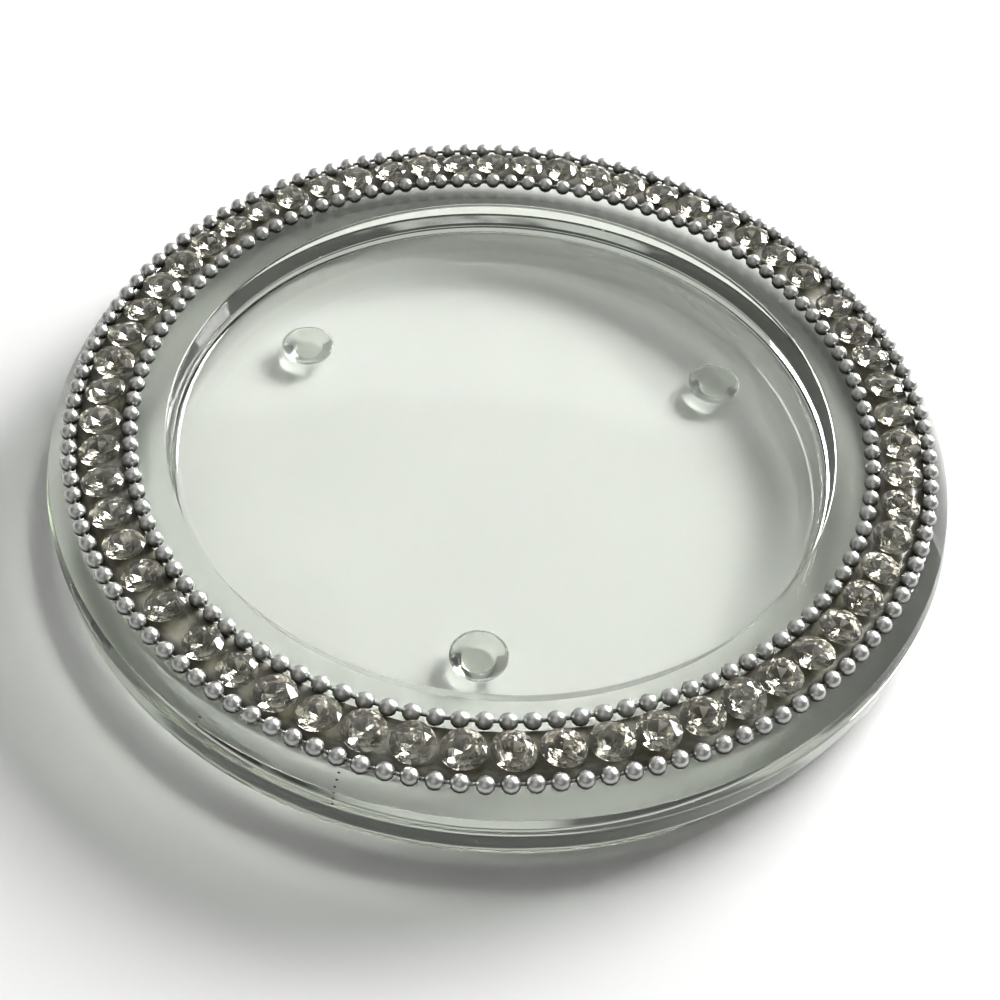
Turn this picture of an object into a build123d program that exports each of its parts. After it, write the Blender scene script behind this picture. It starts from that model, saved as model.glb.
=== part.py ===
from build123d import *
import os
from math import cos, pi, radians, sin, sqrt

# Candle plate: a clear pressed-glass plate whose flat rim carries two silver bead chains with a
# row of faceted stones glued between them, standing on three clear bumper feet.
# Millimetres, +Z up, origin on the standing surface under the plate's centre.

# Glass plate
WELL_D = 119.6  # across the well at the rim
WELL_DEPTH = 6.2  # from the rim down to the well floor
WELL_TAPER = 0.4  # how far the wall leans in by the floor
WELL_BEVEL = 1.4  # eased corner where the wall meets the floor
FLOOR_T = 6.1  # glass under the well
LAND_W = 4.7  # bare rim between the well and the inner beads
CREST_W = 1.3  # flat rim outside the centres of the outer beads
SHOULDER_W = 2.9  # sloping band outside the flat rim
SHOULDER_DROP = 2.6  # fall of that band
FLARE_W = 0.8  # how far the upper side spreads below the shoulder
FLARE_DROP = 3.1  # height of that upper side
SIDE_TAPER = 0.4  # how far the lower side leans in by the base
BASE_BEVEL = 0.7  # bevel under the side

# Bead chains
BEAD_D = 3.0
LINK_L = 0.66  # least gap between neighbouring beads
LINK_D = 0.9  # round the corners of a link
LINK_SIDES = 3

# Faceted stones, a flat foiled back below and a table facet on top
STONE_D = 6.8  # across the flats of the girdle
STONE_H = 2.9
STONE_GIRDLE_H = 1.9  # widest level, above the back
STONE_TABLE_D = 3.9
STONE_BACK_D = 2.6
STONE_SIDES = 8
STONE_PITCH = 7.2  # least spacing of the stones along their row
STONE_TO_BEAD = 0.1

# Glue bed under the stones, with the two places where the row of stones leaves it bare
GLUE_T = 0.5
GLUE_TO_BEAD = 0.05
BARE_ANGLES = (-131.6, 33.0)
BARE_W = 2.4  # extra glue showing at each of those places

# Bumper feet
FOOT_D = 10.0
FOOT_H = 3.2
FOOT_WALL_H = 1.2  # upright side, next to the glass
FOOT_PAD_D = 6.0  # flat that touches the table
FOOT_INSET = 13.8  # from the well wall to the feet's centres
FOOT_COUNT = 3
FIRST_FOOT_ANGLE = -91.0

# Files that the row of stones is shared out over
STONE_GROUPS = 12

# Levels, from the table up
base_z = FOOT_H
floor_z = base_z + FLOOR_T
rim_z = floor_z + WELL_DEPTH
bead_z = rim_z + BEAD_D / 2
stone_z = rim_z + GLUE_T

# Rings, from the well out
well_r = WELL_D / 2
inner_chain_r = well_r + LAND_W + BEAD_D / 2
stone_row_r = inner_chain_r + BEAD_D / 2 + STONE_TO_BEAD + STONE_D / 2
outer_chain_r = stone_row_r + STONE_D / 2 + STONE_TO_BEAD + BEAD_D / 2
crest_r = outer_chain_r + CREST_W
shoulder_r = crest_r + SHOULDER_W
side_r = shoulder_r + FLARE_W
foot_ring_r = well_r - FOOT_INSET


def on_ring(radius, angle, height):
    """A place on a level ring, with local X pointing outwards."""
    turn = radians(angle)
    return Pos(radius * cos(turn), radius * sin(turn), height) * Rot(0, 0, angle)


def revolved(outline):
    """A solid turned about the Z axis from a closed outline of radius and height."""
    return revolve(Plane.XZ * make_face(outline), Axis.Z)


def glass_plate():
    """Well, flat rim, sloping shoulder, flared upper side and lower side in one turned profile."""
    wall_r = well_r - WELL_TAPER
    shoulder_z = rim_z - SHOULDER_DROP
    outline = Polyline(
        (0, base_z),
        (side_r - SIDE_TAPER - BASE_BEVEL, base_z),
        (side_r - SIDE_TAPER, base_z + BASE_BEVEL),
        (side_r, shoulder_z - FLARE_DROP),
        (shoulder_r, shoulder_z),
        (crest_r, rim_z),
        (well_r, rim_z),
        (wall_r, floor_z + WELL_BEVEL),
        (wall_r - WELL_BEVEL, floor_z),
        (0, floor_z),
        close=True,
    )
    return revolved(outline)


def bumper_foot():
    """Short upright side under the glass, tapered down to a flat pad on the table."""
    foot_r = FOOT_D / 2
    pad_r = FOOT_PAD_D / 2
    wall_end = (foot_r, FOOT_H - FOOT_WALL_H)
    return revolved(Polyline((0, FOOT_H), (foot_r, FOOT_H), wall_end, (pad_r, 0), (0, 0), close=True))


def glue_bed():
    """Flat ring of glue that reaches the flanks of the beads on both sides."""
    bead_r = BEAD_D / 2
    flank = sqrt(bead_r**2 - (bead_r - GLUE_T) ** 2) + GLUE_TO_BEAD
    ring = Circle(outer_chain_r - flank) - Circle(inner_chain_r + flank)
    return Pos(0, 0, rim_z) * extrude(ring, GLUE_T)


def bead():
    """Ball of twenty flat faces, exactly a bead wide on each of its three axes."""
    far = BEAD_D / 2
    near = far * (sqrt(5) - 1) / 2
    corners = []
    for a in (-near, near):
        for b in (-far, far):
            corners += [(a, 0, b), (b, a, 0), (0, b, a)]
    return ConvexPolyhedron(corners)


def bead_chain(radius):
    """Beads set evenly round a ring, each tied to the next by a short link."""
    count = int(2 * pi * radius / (BEAD_D + LINK_L))
    step = 360 / count
    half_step = radians(step / 2)
    link_run = 2 * radius * sin(half_step) - BEAD_D
    link = Rot(90, 0, 0) * extrude(RegularPolygon(LINK_D / 2, LINK_SIDES), link_run / 2, both=True)
    ball = bead()
    pieces = []
    for i in range(count):
        pieces.append(on_ring(radius, i * step, bead_z) * ball)
        pieces.append(on_ring(radius * cos(half_step), (i + 0.5) * step, bead_z) * link)
    return pieces


def stone():
    """Faceted stone: back, girdle and table as rings of corners joined by flat facets."""
    levels = [(STONE_BACK_D, 0), (STONE_D, STONE_GIRDLE_H), (STONE_TABLE_D, STONE_H)]
    corners = []
    for width, height in levels:
        reach = width / 2 / cos(pi / STONE_SIDES)
        for i in range(STONE_SIDES):
            turn = 2 * pi * (i + 0.5) / STONE_SIDES
            corners.append((reach * cos(turn), reach * sin(turn), height))
    return ConvexPolyhedron(corners)


def stone_row():
    """Two runs of stones, evenly spaced, that leave the glue bare where they meet."""
    first, second = BARE_ANGLES
    bare = 360 * BARE_W / (2 * pi * stone_row_r)
    pitch = 360 * STONE_PITCH / (2 * pi * stone_row_r)
    gem = stone()
    row = []
    for start, end in [(first, second), (second, first + 360)]:
        run = end - start - bare
        count = int(run / pitch)
        for i in range(count):
            angle = start + bare / 2 + run * (i + 0.5) / count
            row.append(on_ring(stone_row_r, angle, stone_z) * gem)
    return row


parts = {
    "glass_plate": [glass_plate()],
    "glue_bed": [glue_bed()],
    "inner_bead_chain": bead_chain(inner_chain_r),
    "outer_bead_chain": bead_chain(outer_chain_r),
}

stones = stone_row()
for group in range(STONE_GROUPS):
    first_stone = group * len(stones) // STONE_GROUPS
    next_first = (group + 1) * len(stones) // STONE_GROUPS
    parts[f"rhinestones_{group + 1:02d}"] = stones[first_stone:next_first]

for i in range(FOOT_COUNT):
    angle = FIRST_FOOT_ANGLE + 360 * i / FOOT_COUNT
    parts[f"bumper_foot_{i + 1}"] = [on_ring(foot_ring_r, angle, 0) * bumper_foot()]

os.makedirs("parts", exist_ok=True)
for name, solids in parts.items():
    export_step(Compound(solids), f"parts/{name}.step")
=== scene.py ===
import random
from math import atan2, cos, exp, pi, radians, sin, tau

import bmesh
import bpy
from mathutils import Matrix, Vector, noise


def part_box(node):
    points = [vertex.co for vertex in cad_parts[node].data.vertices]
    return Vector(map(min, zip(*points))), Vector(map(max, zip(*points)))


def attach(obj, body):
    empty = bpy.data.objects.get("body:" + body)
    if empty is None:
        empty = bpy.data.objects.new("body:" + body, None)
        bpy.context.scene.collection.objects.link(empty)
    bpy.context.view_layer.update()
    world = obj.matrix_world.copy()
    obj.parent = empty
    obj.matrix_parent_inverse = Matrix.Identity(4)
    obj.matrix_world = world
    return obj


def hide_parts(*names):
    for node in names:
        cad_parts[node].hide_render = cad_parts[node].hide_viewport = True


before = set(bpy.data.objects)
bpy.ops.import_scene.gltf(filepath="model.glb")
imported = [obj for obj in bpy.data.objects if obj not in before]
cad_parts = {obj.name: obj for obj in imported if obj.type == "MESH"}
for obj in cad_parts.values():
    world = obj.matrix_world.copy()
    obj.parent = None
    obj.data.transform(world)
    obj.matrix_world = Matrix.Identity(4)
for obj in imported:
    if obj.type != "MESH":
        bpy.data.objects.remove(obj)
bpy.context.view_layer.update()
MM = 0.001

# Glass plate: one pressing of clear soda-lime glass with a sunk well, a flat rim, a sloping
# shoulder and a side that flares to its middle. It was fire-polished after the mould, so its edges
# are softly rounded and its faces a little wavy.
plate_low, plate_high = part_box("glass_plate")
PLATE_R = plate_high.x
BASE_Z = plate_low.z
RIM_Z = plate_high.z
WELL_R = 59.8 * MM
WELL_DEPTH = 6.2 * MM
WELL_TAPER = 0.4 * MM
WELL_LIP_ROUND = 0.5 * MM
WELL_FOOT_ROUND = 1.8 * MM
SHOULDER_W = 2.9 * MM
SHOULDER_DROP = 2.6 * MM
SHOULDER_ROUND = 0.15 * MM
CREST_ROUND = 0.5 * MM
FLARE_W = 0.8 * MM
FLARE_DROP = 3.1 * MM
FLARE_ROUND = 0.4 * MM
SIDE_TAPER = 0.4 * MM
BASE_ROUND = 0.7 * MM
PLATE_STEPS = 360
ROUND_SEGMENTS = 6
GLASS_TINT = (0.985, 0.992, 0.98, 1)
GLASS_DEPTH_TINT = (0.50, 0.56, 0.43, 1)
GLASS_DEPTH_DENSITY = 24
GLASS_IOR = 1.5
RIPPLE_SCALE = 60
HAZE_SCALE = 140
HAZE_ROUGHNESS = 0.05


def turned(outline, steps):
    """A closed body spun about the Z axis from corners of radius, height and rounding."""
    bm = bmesh.new()
    corners = [bm.verts.new((radius, 0, height)) for radius, height, rounding in outline]
    for start, end in zip(corners, corners[1:]):
        bm.edges.new((start, end))
    for corner, (radius, height, rounding) in zip(corners, outline):
        if rounding:
            bmesh.ops.bevel(
                bm, geom=[corner], offset=rounding, offset_type="OFFSET", affect="VERTICES",
                segments=ROUND_SEGMENTS, profile=0.5, material=-1,
            )
    bmesh.ops.spin(
        bm, geom=bm.verts[:] + bm.edges[:], cent=(0, 0, 0), axis=(0, 0, 1), angle=tau,
        steps=steps, use_merge=True, use_duplicate=False,
    )
    bmesh.ops.remove_doubles(bm, verts=bm.verts, dist=1e-6)
    bmesh.ops.recalc_face_normals(bm, faces=bm.faces)
    return bm


def finished_piece(name, bm, materials, smooth=True):
    """The bmesh as an object at the origin that rides on the plate."""
    for face in bm.faces:
        face.smooth = smooth
    mesh = bpy.data.meshes.new(name)
    bm.to_mesh(mesh)
    bm.free()
    for material in materials:
        mesh.materials.append(material)
    piece = bpy.data.objects.new(name, mesh)
    bpy.context.collection.objects.link(piece)
    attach(piece, "root")
    return piece


def flat_faces_stay_flat(piece):
    """Weights the shading by face area, so a rounded edge does not bend the flat beside it."""
    weighted = piece.modifiers.new("weighted_normals", "WEIGHTED_NORMAL")
    weighted.weight = 100
    weighted.mode = "FACE_AREA"


def new_finish(name):
    """An empty node material and its tree."""
    material = bpy.data.materials.new(name)
    material.use_nodes = True
    material.node_tree.nodes.clear()
    return material, material.node_tree


def add(tree, kind, inputs=(), **settings):
    """A node with its settings made and its inputs set: a socket is linked, a value is kept."""
    made = tree.nodes.new(kind)
    for key, value in settings.items():
        setattr(made, key, value)
    for key, value in dict(inputs).items():
        if isinstance(value, bpy.types.NodeSocket):
            tree.links.new(value, made.inputs[key])
        else:
            made.inputs[key].default_value = value
    return made


def mixed(tree, factor, first, second):
    """A colour that goes from the first to the second as the factor rises."""
    made = add(tree, "ShaderNodeMix", data_type="RGBA")
    for socket, value in zip((made.inputs[0], made.inputs[6], made.inputs[7]), (factor, first, second)):
        if isinstance(value, bpy.types.NodeSocket):
            tree.links.new(value, socket)
        else:
            socket.default_value = value
    return made.outputs[2]


def show(tree, surface):
    """Puts a shader on the material's surface."""
    add(tree, "ShaderNodeOutputMaterial", {"Surface": surface.outputs[0]})


def pressed_glass():
    """Clear glass with the faint ripple of a pressing and a trace of handling haze."""
    material, tree = new_finish("pressed_glass")
    place = add(tree, "ShaderNodeTexCoord").outputs["Object"]
    ripple = add(tree, "ShaderNodeTexNoise", {"Vector": place, "Scale": RIPPLE_SCALE, "Detail": 1.5})
    relief = add(tree, "ShaderNodeBump", {
        "Height": ripple.outputs["Fac"], "Strength": 0.25, "Distance": 0.25 * MM,
    })
    smear = add(tree, "ShaderNodeTexNoise", {"Vector": place, "Scale": HAZE_SCALE, "Detail": 4})
    haze = add(tree, "ShaderNodeMapRange", {
        "Value": smear.outputs["Fac"], "From Min": 0.45, "From Max": 0.75,
        "To Min": 0, "To Max": HAZE_ROUGHNESS,
    })
    body = add(tree, "ShaderNodeBsdfPrincipled", {
        "Base Color": GLASS_TINT, "Roughness": haze.outputs["Result"], "IOR": GLASS_IOR,
        "Transmission Weight": 1, "Normal": relief.outputs["Normal"],
    })
    depth = add(tree, "ShaderNodeVolumeAbsorption", {
        "Color": GLASS_DEPTH_TINT, "Density": GLASS_DEPTH_DENSITY,
    })
    add(tree, "ShaderNodeOutputMaterial", {"Surface": body.outputs[0], "Volume": depth.outputs[0]})
    return material


floor_z = RIM_Z - WELL_DEPTH
plate_outline = [
    (0, BASE_Z, 0),
    (PLATE_R - SIDE_TAPER, BASE_Z, BASE_ROUND),
    (PLATE_R, RIM_Z - SHOULDER_DROP - FLARE_DROP, FLARE_ROUND),
    (PLATE_R - FLARE_W, RIM_Z - SHOULDER_DROP, SHOULDER_ROUND),
    (PLATE_R - FLARE_W - SHOULDER_W, RIM_Z, CREST_ROUND),
    (WELL_R, RIM_Z, WELL_LIP_ROUND),
    (WELL_R - WELL_TAPER, floor_z, WELL_FOOT_ROUND),
    (0, floor_z, 0),
]
plate = finished_piece("pressed_plate", turned(plate_outline, PLATE_STEPS), [pressed_glass()])
flat_faces_stay_flat(plate)
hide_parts("glass_plate")

# Mould seam: a dotted row of small dark spots down the shoulder and side at the front, and the end
# of another to its left, taken to be where the parts of the mould met. They stand a hair proud of
# the glass and are coloured from near black to dark grey in patches.
SEAM_ROWS = [(radians(-104.7), 0.95 * MM, 6), (radians(-122), 2.7 * MM, 2)]
SPOT_R = 0.26 * MM
SPOT_RISE = 0.08 * MM
SPOT_STEP = 1.1 * MM
SEAM_GREY = (0.09, 0.09, 0.08, 1)
SEAM_BLACK = (0.02, 0.02, 0.018, 1)
SPECK_SCALE = 1200


def seam_spots():
    """Low domes spaced along the plate's profile, from the crest down, at each row's azimuth."""
    bm = bmesh.new()
    crest = Vector((PLATE_R - FLARE_W - SHOULDER_W, RIM_Z))
    shoulder = Vector((PLATE_R - FLARE_W, RIM_Z - SHOULDER_DROP))
    widest = Vector((PLATE_R, RIM_Z - SHOULDER_DROP - FLARE_DROP))
    slope = (shoulder - crest).length
    for turn, start, count in SEAM_ROWS:
        for i in range(count):
            run = start + i * SPOT_STEP
            if run < slope:
                spot = crest.lerp(shoulder, run / slope)
            else:
                spot = shoulder.lerp(widest, (run - slope) / (widest - shoulder).length)
            place = Matrix.Rotation(turn, 4, "Z") @ Matrix.Translation((spot.x, 0, spot.y))
            size = Matrix.Diagonal((SPOT_RISE, SPOT_R, SPOT_R, 1))
            bmesh.ops.create_uvsphere(bm, u_segments=8, v_segments=6, radius=1, matrix=place @ size)
    return bm


def dark_seam_finish():
    """Dull near-black to dark grey, varied in noise patches."""
    material, tree = new_finish("dark_seam_finish")
    place = add(tree, "ShaderNodeTexCoord").outputs["Object"]
    specks = add(tree, "ShaderNodeTexNoise", {"Vector": place, "Scale": SPECK_SCALE, "Detail": 2})
    shade = mixed(tree, specks.outputs["Fac"], SEAM_BLACK, SEAM_GREY)
    body = add(tree, "ShaderNodeBsdfPrincipled", {"Base Color": shade, "Roughness": 0.7})
    show(tree, body)
    return material


finished_piece("mould_seam", seam_spots(), [dark_seam_finish()])

# Bumper feet: three clear moulded polyurethane domes, bought as stick-on bumpers. Each is pressed
# flat against the underside of the plate and domes down to a small pad on the table.
FOOT_NODES = ["bumper_foot_1", "bumper_foot_2", "bumper_foot_3"]
FOOT_PAD_R = 2.6 * MM
FOOT_PAD_ROUND = 0.5 * MM
FOOT_BELLY = (0.74, 0.35)
FOOT_BELLY_ROUND = 0.6 * MM
FOOT_WALL = 0.72
FOOT_WALL_ROUND = 0.45 * MM
FOOT_TOP_ROUND = 0.25 * MM
FOOT_STEPS = 48
FOOT_GAP = 0.02 * MM
BUMPER_TINT = (0.77, 0.79, 0.76, 1)
BUMPER_IOR = 1.47
BLOOM_SCALE = 900


def bumper_clear():
    """Clear, slightly soft polyurethane with a fine moulded bloom."""
    material, tree = new_finish("bumper_clear")
    place = add(tree, "ShaderNodeTexCoord").outputs["Object"]
    bloom = add(tree, "ShaderNodeTexNoise", {"Vector": place, "Scale": BLOOM_SCALE, "Detail": 3})
    dull = add(tree, "ShaderNodeMapRange", {
        "Value": bloom.outputs["Fac"], "From Min": 0.3, "From Max": 0.8, "To Min": 0.06, "To Max": 0.18,
    })
    relief = add(tree, "ShaderNodeBump", {
        "Height": bloom.outputs["Fac"], "Strength": 0.1, "Distance": 0.05 * MM,
    })
    body = add(tree, "ShaderNodeBsdfPrincipled", {
        "Base Color": BUMPER_TINT, "Roughness": dull.outputs["Result"], "IOR": BUMPER_IOR,
        "Transmission Weight": 1, "Normal": relief.outputs["Normal"],
    })
    show(tree, body)
    return material


bumper_finish = bumper_clear()
for node_name in FOOT_NODES:
    foot_low, foot_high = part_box(node_name)
    foot_r = (foot_high.x - foot_low.x) / 2
    foot_top = foot_high.z - FOOT_GAP
    foot_outline = [
        (0, 0, 0),
        (FOOT_PAD_R, 0, FOOT_PAD_ROUND),
        (FOOT_BELLY[0] * foot_r, FOOT_BELLY[1] * foot_top, FOOT_BELLY_ROUND),
        (foot_r, FOOT_WALL * foot_top, FOOT_WALL_ROUND),
        (foot_r, foot_top, FOOT_TOP_ROUND),
        (0, foot_top, 0),
    ]
    foot = turned(foot_outline, FOOT_STEPS)
    centre = (foot_low + foot_high) / 2
    bmesh.ops.translate(foot, verts=foot.verts, vec=(centre.x, centre.y, 0))
    bumper = finished_piece(node_name + "_dome", foot, [bumper_finish])
    flat_faces_stay_flat(bumper)
    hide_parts(node_name)

# Bead chains: two strings of satin silver balls joined by short bright links, laid round the rim
# by hand and held by the glue between them, so each ring wanders a little from a true circle.
BEAD_R = 1.5 * MM
LINK_R = 0.3 * MM
BEAD_SEGMENTS = 10
BEAD_RINGS = 6
LINK_SIDES = 6
LINK_BITE = 0.08 * MM
BEAD_SLACK = 0.05 * MM
INNER_BEADS = 113
OUTER_BEADS = 130
INNER_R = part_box("inner_bead_chain")[1].x - BEAD_R
OUTER_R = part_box("outer_bead_chain")[1].x - BEAD_R
BEAD_SILVER = (0.74, 0.74, 0.72, 1)
# Painted shade: the lower part of each ball is mixed towards this dark colour, standing in for the dark
# surroundings it would reflect.
BEAD_PAINTED_SHADE = (0.05, 0.05, 0.047, 1)
SHADE_FROM = 1.5 * MM
SHADE_TO = 3.1 * MM
SHADE_WANDER = 0.8 * MM
SHADE_SCALE = 330
SCUFF_SCALE = 2600
INNER_SEED = 3
OUTER_SEED = 4


def inner_ring(turn):
    """Radius of the inner chain as it was laid."""
    wander = 0.21 * cos(3 * turn) - 0.15 * cos(4 * turn) - 0.10 * sin(4 * turn)
    wander -= 0.11 * cos(5 * turn) + 0.10 * sin(5 * turn) + 0.07 * cos(turn)
    return INNER_R + wander * MM


def outer_ring(turn):
    """Radius of the outer chain as it was laid, pushed out at the front."""
    turn %= tau
    front = exp(-((turn - radians(263)) / radians(14)) ** 2)
    beside = exp(-((turn - radians(230)) / radians(13)) ** 2)
    return OUTER_R + (0.1 + 0.9 * front - 0.3 * beside) * MM


def on_rim(radius, turn, height):
    """A place on the rim, its X axis outwards and its Y axis along the rim."""
    spot = Matrix.Translation((radius * cos(turn), radius * sin(turn), height))
    return spot @ Matrix.Rotation(turn, 4, "Z")


def stamp(bm, pattern, place):
    """Adds a copy of the pattern mesh at a place."""
    copy = pattern.copy()
    copy.transform(place)
    bm.from_mesh(copy)
    bpy.data.meshes.remove(copy)


def pattern_mesh(name, bm):
    """The bmesh as a mesh to stamp from."""
    mesh = bpy.data.meshes.new(name)
    bm.to_mesh(mesh)
    bm.free()
    return mesh


def bead_pattern():
    """One ball, its poles on Y where the links enter."""
    bm = bmesh.new()
    bmesh.ops.create_uvsphere(
        bm, u_segments=BEAD_SEGMENTS, v_segments=BEAD_RINGS, radius=BEAD_R,
        matrix=Matrix.Rotation(pi / 2, 4, "X"),
    )
    return pattern_mesh("bead", bm)


def link_pattern():
    """One link along Z, a metre long so that each place can shorten it."""
    bm = bmesh.new()
    bmesh.ops.create_cone(
        bm, cap_ends=True, segments=LINK_SIDES, radius1=LINK_R, radius2=LINK_R, depth=1,
    )
    return pattern_mesh("link", bm)


def bead_string(ring, count, seed):
    """Balls and the links between them, threaded along the rim."""
    bm = bmesh.new()
    bead = bead_pattern()
    link = link_pattern()
    hand = random.Random(seed)
    spots = []
    for i in range(count):
        turn = tau * i / count
        slack = hand.uniform(-BEAD_SLACK, BEAD_SLACK)
        spots.append(on_rim(ring(turn) + slack, turn, RIM_Z + BEAD_R))
    for i, spot in enumerate(spots):
        stamp(bm, bead, spot)
        here = spot.translation
        there = spots[(i + 1) % count].translation
        run = there - here
        length = run.length - 2 * BEAD_R + 2 * LINK_BITE
        middle = Matrix.Translation((here + there) / 2)
        along = run.to_track_quat("Z", "Y").to_matrix().to_4x4()
        stamp(bm, link, middle @ along @ Matrix.Diagonal((1, 1, length, 1)))
    for pattern in (bead, link):
        bpy.data.meshes.remove(pattern)
    return bm


# Used as painted shade on the silver balls and to darken the stones' foil towards the culet.
def darker_below_group():
    """Node group: a mask that is 0 near the rim and 1 above it, with an uneven boundary."""
    group = bpy.data.node_groups.new("darker_from_below", "ShaderNodeTree")
    for name in ("From", "To", "Wander", "Scale"):
        group.interface.new_socket(name, in_out="INPUT", socket_type="NodeSocketFloat")
    group.interface.new_socket("Upper", in_out="OUTPUT", socket_type="NodeSocketFloat")
    given = add(group, "NodeGroupInput").outputs
    place = add(group, "ShaderNodeTexCoord").outputs["Object"]
    height = add(group, "ShaderNodeSeparateXYZ", {"Vector": place}).outputs["Z"]
    patches = add(group, "ShaderNodeTexNoise", {"Vector": place, "Scale": given["Scale"], "Detail": 3})
    level = add(group, "ShaderNodeMath", {
        0: patches.outputs["Fac"], 1: given["Wander"], 2: height,
    }, operation="MULTIPLY_ADD")
    upper_mask = add(group, "ShaderNodeMapRange", {
        "Value": level.outputs[0], "From Min": given["From"], "From Max": given["To"],
    }, interpolation_type="SMOOTHSTEP")
    add(group, "NodeGroupOutput", {"Upper": upper_mask.outputs["Result"]})
    return group


def darker_below(tree, low, high, wander, scale):
    """The shared darker-below mask between two heights above the rim."""
    made = add(tree, "ShaderNodeGroup", node_tree=darker_below_mask)
    for name, value in [("From", RIM_Z + low), ("To", RIM_Z + high), ("Wander", wander), ("Scale", scale)]:
        made.inputs[name].default_value = value
    return made.outputs["Upper"]


def satin_silver():
    """Plated silver gone satin with fine scuffs, and painted shade that darkens the lower half of each
    ball in uneven patches.
    """
    material, tree = new_finish("satin_silver")
    place = add(tree, "ShaderNodeTexCoord").outputs["Object"]
    # painted shade: the balls are darkened near the rim, fading out higher up
    upper_mask = darker_below(tree, SHADE_FROM, SHADE_TO, SHADE_WANDER, SHADE_SCALE)
    shade = mixed(tree, upper_mask, BEAD_PAINTED_SHADE, BEAD_SILVER)
    scuff = add(tree, "ShaderNodeTexNoise", {"Vector": place, "Scale": SCUFF_SCALE, "Detail": 2})
    satin = add(tree, "ShaderNodeMapRange", {
        "Value": scuff.outputs["Fac"], "From Min": 0.3, "From Max": 0.7, "To Min": 0.32, "To Max": 0.4,
    })
    relief = add(tree, "ShaderNodeBump", {
        "Height": scuff.outputs["Fac"], "Strength": 0.04, "Distance": 0.02 * MM,
    })
    body = add(tree, "ShaderNodeBsdfPrincipled", {
        "Base Color": shade, "Metallic": 1, "Roughness": satin.outputs["Result"],
        "Normal": relief.outputs["Normal"],
    })
    show(tree, body)
    return material


darker_below_mask = darker_below_group()
silver = satin_silver()
chains = [
    ("inner_bead_chain", inner_ring, INNER_BEADS, INNER_SEED),
    ("outer_bead_chain", outer_ring, OUTER_BEADS, OUTER_SEED),
]
for node_name, ring, count, seed in chains:
    chain = finished_piece(node_name + "_laid", bead_string(ring, count, seed), [silver])
    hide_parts(node_name)

# Glue bed: a run of clear craft glue, yellowed to olive, that was spread round the rim between the
# chains and squeezed up unevenly when the stones were pushed in.
bed_low, bed_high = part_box("glue_bed")
BED_T = bed_high.z - bed_low.z
BED_EDGE = 0.9 * MM
BED_STEPS = 720
BED_SWELL = 0.45 * MM
BED_THIN = 0.04 * MM
BED_MIDDLE = 0.4
SWELL_SCALE = 260
BARE_TURNS = (radians(-131.6), radians(33))
BARE_HEAP = 1.9 * MM
GLUE_OLIVE = (0.19, 0.18, 0.125, 1)
GLUE_PALE = (0.36, 0.36, 0.31, 1)
POOL_SCALE = 120
LUMP_SCALE = 700


def glue_run():
    """A low ring between the chains, pressed thin under the stones and heaped where there are none."""
    middle = (inner_ring(0) + outer_ring(0)) / 2
    half = (outer_ring(0) - inner_ring(0)) / 2 - BED_EDGE
    top = RIM_Z + BED_T
    sides = [(-1, RIM_Z), (-1, top), (-BED_MIDDLE, top), (0, top), (BED_MIDDLE, top), (1, top)]
    sides += [(1, RIM_Z), (-1, RIM_Z)]
    bm = turned([(middle + side * half, height, 0) for side, height in sides], BED_STEPS)
    for vert in bm.verts:
        out = vert.co.xy.normalized()
        turn = atan2(out.y, out.x)
        inside = abs(vert.co.xy.length - middle) < half / 2
        vert.co.xy += out * ((inner_ring(turn) + outer_ring(turn)) / 2 - middle)
        if vert.co.z > RIM_Z + BED_T / 2:
            swell = BED_SWELL * noise.noise(vert.co * SWELL_SCALE)
            heap = sum(exp(-((turn - bare) * middle / BARE_HEAP) ** 2) for bare in BARE_TURNS)
            vert.co.z = RIM_Z + BED_THIN + heap * (BED_T + swell) if inside else top + swell / 2
    return bm


def yellowed_glue():
    """Glossy glue, pale where it is thin over the rim and olive where it pooled."""
    material, tree = new_finish("yellowed_glue")
    place = add(tree, "ShaderNodeTexCoord").outputs["Object"]
    pools = add(tree, "ShaderNodeTexNoise", {"Vector": place, "Scale": POOL_SCALE, "Detail": 4})
    shade = add(tree, "ShaderNodeValToRGB", {"Fac": pools.outputs["Fac"]})
    shade.color_ramp.elements[0].position = 0.4
    shade.color_ramp.elements[0].color = GLUE_OLIVE
    shade.color_ramp.elements[1].position = 0.68
    shade.color_ramp.elements[1].color = GLUE_PALE
    lumps = add(tree, "ShaderNodeTexNoise", {"Vector": place, "Scale": LUMP_SCALE, "Detail": 3})
    gloss = add(tree, "ShaderNodeMapRange", {
        "Value": lumps.outputs["Fac"], "From Min": 0.3, "From Max": 0.7, "To Min": 0.15, "To Max": 0.4,
    })
    relief = add(tree, "ShaderNodeBump", {
        "Height": lumps.outputs["Fac"], "Strength": 0.4, "Distance": 0.2 * MM,
    })
    body = add(tree, "ShaderNodeBsdfPrincipled", {
        "Base Color": shade.outputs["Color"], "Roughness": gloss.outputs["Result"],
        "Coat Weight": 0.4, "Coat Roughness": 0.15, "Normal": relief.outputs["Normal"],
    })
    show(tree, body)
    return material


glue = finished_piece("glue_run", glue_run(), [yellowed_glue()])
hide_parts("glue_bed")

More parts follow.
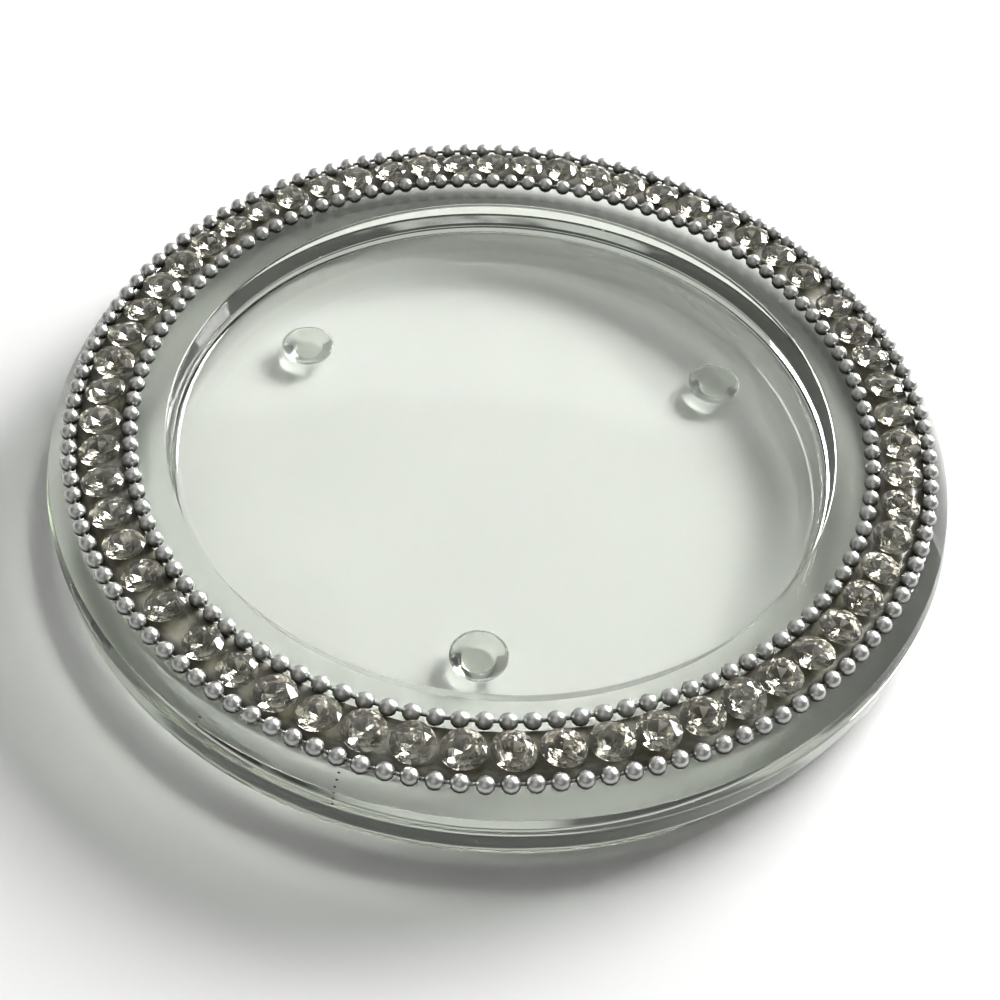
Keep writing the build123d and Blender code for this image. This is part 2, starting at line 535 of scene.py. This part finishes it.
# Rhinestones: sixty round glass brilliants with a foiled back, pressed by hand into the wet glue
# between the chains, each no wider than the room there. None sits quite level, and two joints in
# the row leave the glue bare.
STONE_R = 3.6 * MM
STONE_H = 3.02 * MM
STONE_SINK = 0.45 * MM
GIRDLE_LOW = 2.0 * MM
GIRDLE_HIGH = 2.13 * MM
TABLE_R = 2.0 * MM
STAR_R = 2.85 * MM
STAR_Z = 2.65 * MM
PAVILION_R = 2.1 * MM
PAVILION_Z = 0.85 * MM
BACK_R = 0.2 * MM
STONE_FACETS = 8
STONE_TILT = radians(7)
STONE_GROUPS = 12
BARE_W = 2.4 * MM
STONE_PITCH = 7.2 * MM
CRYSTAL_TINT = (0.995, 0.992, 0.98, 1)
FOIL_BRIGHT = (0.74, 0.73, 0.69, 1)
FOIL_BROWN = (0.32, 0.305, 0.25, 1)
BROWN_FROM = 0.5 * MM
BROWN_TO = 2.2 * MM
BROWN_WANDER = 1.2 * MM
BROWN_SCALE = 480
CREASE_SCALE = 700
WEAR_SCALE = 1500
CRYSTAL_IOR = 1.56
SETTING_SEED = 11


def brilliant():
    """One cut stone: back, girdle, star corners and table joined by flat facets."""
    bm = bmesh.new()
    levels = [
        (BACK_R, 0, STONE_FACETS, 0),
        (PAVILION_R, PAVILION_Z, STONE_FACETS, 0.5),
        (STONE_R, GIRDLE_LOW, 2 * STONE_FACETS, 0),
        (STONE_R, GIRDLE_HIGH, 2 * STONE_FACETS, 0),
        (STAR_R, STAR_Z, STONE_FACETS, 0),
        (TABLE_R, STONE_H, STONE_FACETS, 0.5),
    ]
    for radius, height, corners, twist in levels:
        spot = Matrix.Translation((0, 0, height)) @ Matrix.Rotation(twist * tau / corners, 4, "Z")
        bmesh.ops.create_circle(bm, segments=corners, radius=radius, matrix=spot)
    bmesh.ops.convex_hull(bm, input=bm.verts)
    bmesh.ops.delete(bm, geom=[e for e in bm.edges if not e.link_faces], context="EDGES")
    bmesh.ops.dissolve_limit(bm, angle_limit=radians(1), verts=bm.verts, edges=bm.edges)
    bmesh.ops.recalc_face_normals(bm, faces=bm.faces)
    for face in bm.faces:
        face.material_index = 1 if face.normal.z < -0.1 else 0
    return pattern_mesh("brilliant", bm)


def crystal():
    """Lead-free crystal glass, very slightly smoky, with a worn polish on its facets."""
    material, tree = new_finish("stone_crystal")
    place = add(tree, "ShaderNodeTexCoord").outputs["Object"]
    wear = add(tree, "ShaderNodeTexNoise", {"Vector": place, "Scale": WEAR_SCALE, "Detail": 3})
    polish = add(tree, "ShaderNodeMapRange", {
        "Value": wear.outputs["Fac"], "From Min": 0.35, "From Max": 0.75, "To Min": 0.0, "To Max": 0.02,
    })
    body = add(tree, "ShaderNodeBsdfPrincipled", {
        "Base Color": CRYSTAL_TINT, "Roughness": polish.outputs["Result"], "IOR": CRYSTAL_IOR,
        "Transmission Weight": 1,
    })
    show(tree, body)
    return material


def foil():
    """Silver foil on the stone's back, darker and browner towards the culet."""
    material, tree = new_finish("stone_foil")
    place = add(tree, "ShaderNodeTexCoord").outputs["Object"]
    # darkens the foil from the culet up towards the girdle
    upper_mask = darker_below(tree, BROWN_FROM, BROWN_TO, BROWN_WANDER, BROWN_SCALE)
    shade = mixed(tree, upper_mask, FOIL_BROWN, FOIL_BRIGHT)
    crease = add(tree, "ShaderNodeTexNoise", {"Vector": place, "Scale": CREASE_SCALE, "Detail": 3})
    dull = add(tree, "ShaderNodeMapRange", {
        "Value": crease.outputs["Fac"], "From Min": 0.3, "From Max": 0.7, "To Min": 0.15, "To Max": 0.07,
    })
    body = add(tree, "ShaderNodeBsdfPrincipled", {
        "Base Color": shade, "Metallic": 1, "Roughness": dull.outputs["Result"],
    })
    show(tree, body)
    return material


def stone_turns():
    """Azimuths of the stones, in two runs that leave the glue bare where they meet."""
    middle = (inner_ring(0) + outer_ring(0)) / 2
    first, second = BARE_TURNS
    turns = []
    for start, end in [(first, second), (second, first + tau)]:
        run = end - start - BARE_W / middle
        count = int(run * middle / STONE_PITCH)
        turns += [start + BARE_W / middle / 2 + run * (i + 0.5) / count for i in range(count)]
    return turns


stone_mesh = brilliant()
stone_finishes = [crystal(), foil()]
turns = stone_turns()
setter = random.Random(SETTING_SEED)
to_girdle = Matrix.Translation((0, 0, GIRDLE_LOW))
for group in range(STONE_GROUPS):
    bm = bmesh.new()
    first = group * len(turns) // STONE_GROUPS
    last = (group + 1) * len(turns) // STONE_GROUPS
    for turn in turns[first:last]:
        middle = (inner_ring(turn) + outer_ring(turn)) / 2
        spot = on_rim(middle, turn, RIM_Z + BED_T - STONE_SINK)
        lean = Matrix.Rotation(setter.uniform(-STONE_TILT, STONE_TILT), 4, "X")
        lean @= Matrix.Rotation(setter.uniform(-STONE_TILT, STONE_TILT), 4, "Y")
        spin = Matrix.Rotation(setter.uniform(0, tau), 4, "Z")
        room_r = (outer_ring(turn) - inner_ring(turn)) / 2 - BEAD_R
        fit = Matrix.Scale(min(1, room_r / STONE_R), 4)
        stamp(bm, stone_mesh, spot @ to_girdle @ lean @ to_girdle.inverted() @ spin @ fit)
    node_name = f"rhinestones_{group + 1:02d}"
    stones = finished_piece(node_name + "_set", bm, stone_finishes, smooth=False)
    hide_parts(node_name)
bpy.data.meshes.remove(stone_mesh)

# Studio: a pale table, a soft window-like lamp from behind on the right and a room with a pale
# horizon, a light band on its back wall, a light patch behind the camera and a pale ceiling panel.
STAGE_R = 0.9
TABLE_DROP = 0.1 * MM
TABLE_WHITE = (0.86, 0.86, 0.855, 1)
WINDOW_AIM = Vector((0.61, 0.61, 0.50)).normalized()
WINDOW_FAR = 1.5
WINDOW_W = 0.9
WINDOW_H = 0.5
WINDOW_POWER = 45
ROOM_HORIZON = (0.50, 0.505, 0.50, 1)
ROOM_FRONT = (0.10, 0.101, 0.098, 1)
FRONT_GLOW = (0.50, 0.50, 0.485, 1)
FRONT_AIM = Vector((-0.25, -0.60, 0.76)).normalized()
BACK_BANDS = [
    (0.00, (0.26, 0.265, 0.26, 1)),
    (0.34, (0.24, 0.245, 0.24, 1)),
    (0.44, (0.72, 0.73, 0.72, 1)),
    (0.708, (0.72, 0.73, 0.72, 1)),
    (0.718, (0.10, 0.102, 0.10, 1)),
]
CEILING = (0.85, 0.86, 0.85, 1)
CEILING_EDGES = [("X", 0.18, 0.12), ("Y", 0.0, 0.06), ("Z", 0.86, 0.89)]
BACK_FADE = (-0.1, 0.85)
HORIZON_FADE = (0.07, 0.18)
GLOW_EDGE = radians(34)
GLOW_CORE = radians(22)
LIGHT_BOUNCES = 24


def pale_table():
    """Matt white table."""
    material, tree = new_finish("pale_table")
    body = add(tree, "ShaderNodeBsdfPrincipled", {
        "Base Color": TABLE_WHITE, "Roughness": 0.9, "Specular IOR Level": 0.1,
    })
    show(tree, body)
    return material


bm = bmesh.new()
bmesh.ops.create_circle(bm, cap_ends=True, segments=64, radius=STAGE_R)
bmesh.ops.translate(bm, verts=bm.verts, vec=(0, 0, -TABLE_DROP))
table_mesh = bpy.data.meshes.new("table")
bm.to_mesh(table_mesh)
bm.free()
table_mesh.materials.append(pale_table())
table = bpy.data.objects.new("table", table_mesh)
bpy.context.collection.objects.link(table)

window_data = bpy.data.lights.new("window", "AREA")
window_data.shape = "RECTANGLE"
window_data.size = WINDOW_W
window_data.size_y = WINDOW_H
window_data.energy = WINDOW_POWER
window = bpy.data.objects.new("window", window_data)
window.location = WINDOW_AIM * WINDOW_FAR
window.rotation_euler = WINDOW_AIM.to_track_quat("Z", "Y").to_euler()
bpy.context.collection.objects.link(window)

room = bpy.data.worlds.new("room")
room.use_nodes = True
room.node_tree.nodes.clear()
heading = add(room.node_tree, "ShaderNodeTexCoord").outputs["Generated"]
axes = add(room.node_tree, "ShaderNodeSeparateXYZ", {"Vector": heading})
deep = add(room.node_tree, "ShaderNodeMapRange", {
    "Value": axes.outputs["Y"], "From Min": BACK_FADE[0], "From Max": BACK_FADE[1],
}, interpolation_type="SMOOTHSTEP")
bands = add(room.node_tree, "ShaderNodeValToRGB", {"Fac": axes.outputs["Z"]})
while len(bands.color_ramp.elements) < len(BACK_BANDS):
    bands.color_ramp.elements.new(1)
for stop, (position, tone) in zip(bands.color_ramp.elements, BACK_BANDS):
    stop.position = position
    stop.color = tone
dome = mixed(room.node_tree, deep.outputs["Result"], ROOM_FRONT, bands.outputs["Color"])
rise = add(room.node_tree, "ShaderNodeMapRange", {
    "Value": axes.outputs["Z"], "From Min": HORIZON_FADE[0], "From Max": HORIZON_FADE[1],
}, interpolation_type="SMOOTHSTEP")
wall = mixed(room.node_tree, rise.outputs["Result"], ROOM_HORIZON, dome)
panel = 1
for axis, edge, inside in CEILING_EDGES:
    within = add(room.node_tree, "ShaderNodeMapRange", {
        "Value": axes.outputs[axis], "From Min": edge, "From Max": inside,
    })
    panel = add(room.node_tree, "ShaderNodeMath", {
        0: within.outputs["Result"], 1: panel,
    }, operation="MULTIPLY").outputs[0]
lit = mixed(room.node_tree, panel, wall, CEILING)
toward = add(room.node_tree, "ShaderNodeVectorMath", {
    0: heading, 1: FRONT_AIM,
}, operation="DOT_PRODUCT")
behind = add(room.node_tree, "ShaderNodeMapRange", {
    "Value": toward.outputs["Value"], "From Min": cos(GLOW_EDGE), "From Max": cos(GLOW_CORE),
}, interpolation_type="SMOOTHSTEP")
lit = mixed(room.node_tree, behind.outputs["Result"], lit, FRONT_GLOW)
glow = add(room.node_tree, "ShaderNodeBackground", {"Color": lit, "Strength": 1})
add(room.node_tree, "ShaderNodeOutputWorld", {"Surface": glow.outputs[0]})
bpy.context.scene.world = room
bpy.context.scene.cycles.max_bounces = LIGHT_BOUNCES
bpy.context.scene.cycles.glossy_bounces = LIGHT_BOUNCES
bpy.context.scene.cycles.transmission_bounces = LIGHT_BOUNCES
bpy.context.scene.cycles.blur_glossy = 0
bpy.context.scene.cycles.sample_clamp_indirect = 0

# Camera: a phone held above the front of the plate and turned a little about its own axis, fitted
# to the photograph.
CAMERA_AT = (0.54 * MM, -185.68 * MM, 206.71 * MM)
CAMERA_DOWN = radians(49.195)
CAMERA_ROLL = radians(4.733)
CAMERA_LENS = 53.14
SENSOR_W = 36
CLIP_START = 0.01

camera_data = bpy.data.cameras.new("camera")
camera_data.lens = CAMERA_LENS
camera_data.sensor_width = SENSOR_W
camera_data.clip_start = CLIP_START
camera = bpy.data.objects.new("camera", camera_data)
camera.matrix_world = (
    Matrix.Translation(CAMERA_AT)
    @ Matrix.Rotation(pi / 2 - CAMERA_DOWN, 4, "X")
    @ Matrix.Rotation(CAMERA_ROLL, 4, "Z")
)
bpy.context.collection.objects.link(camera)
bpy.context.scene.camera = camera
bpy.context.scene.view_settings.view_transform = "Standard"
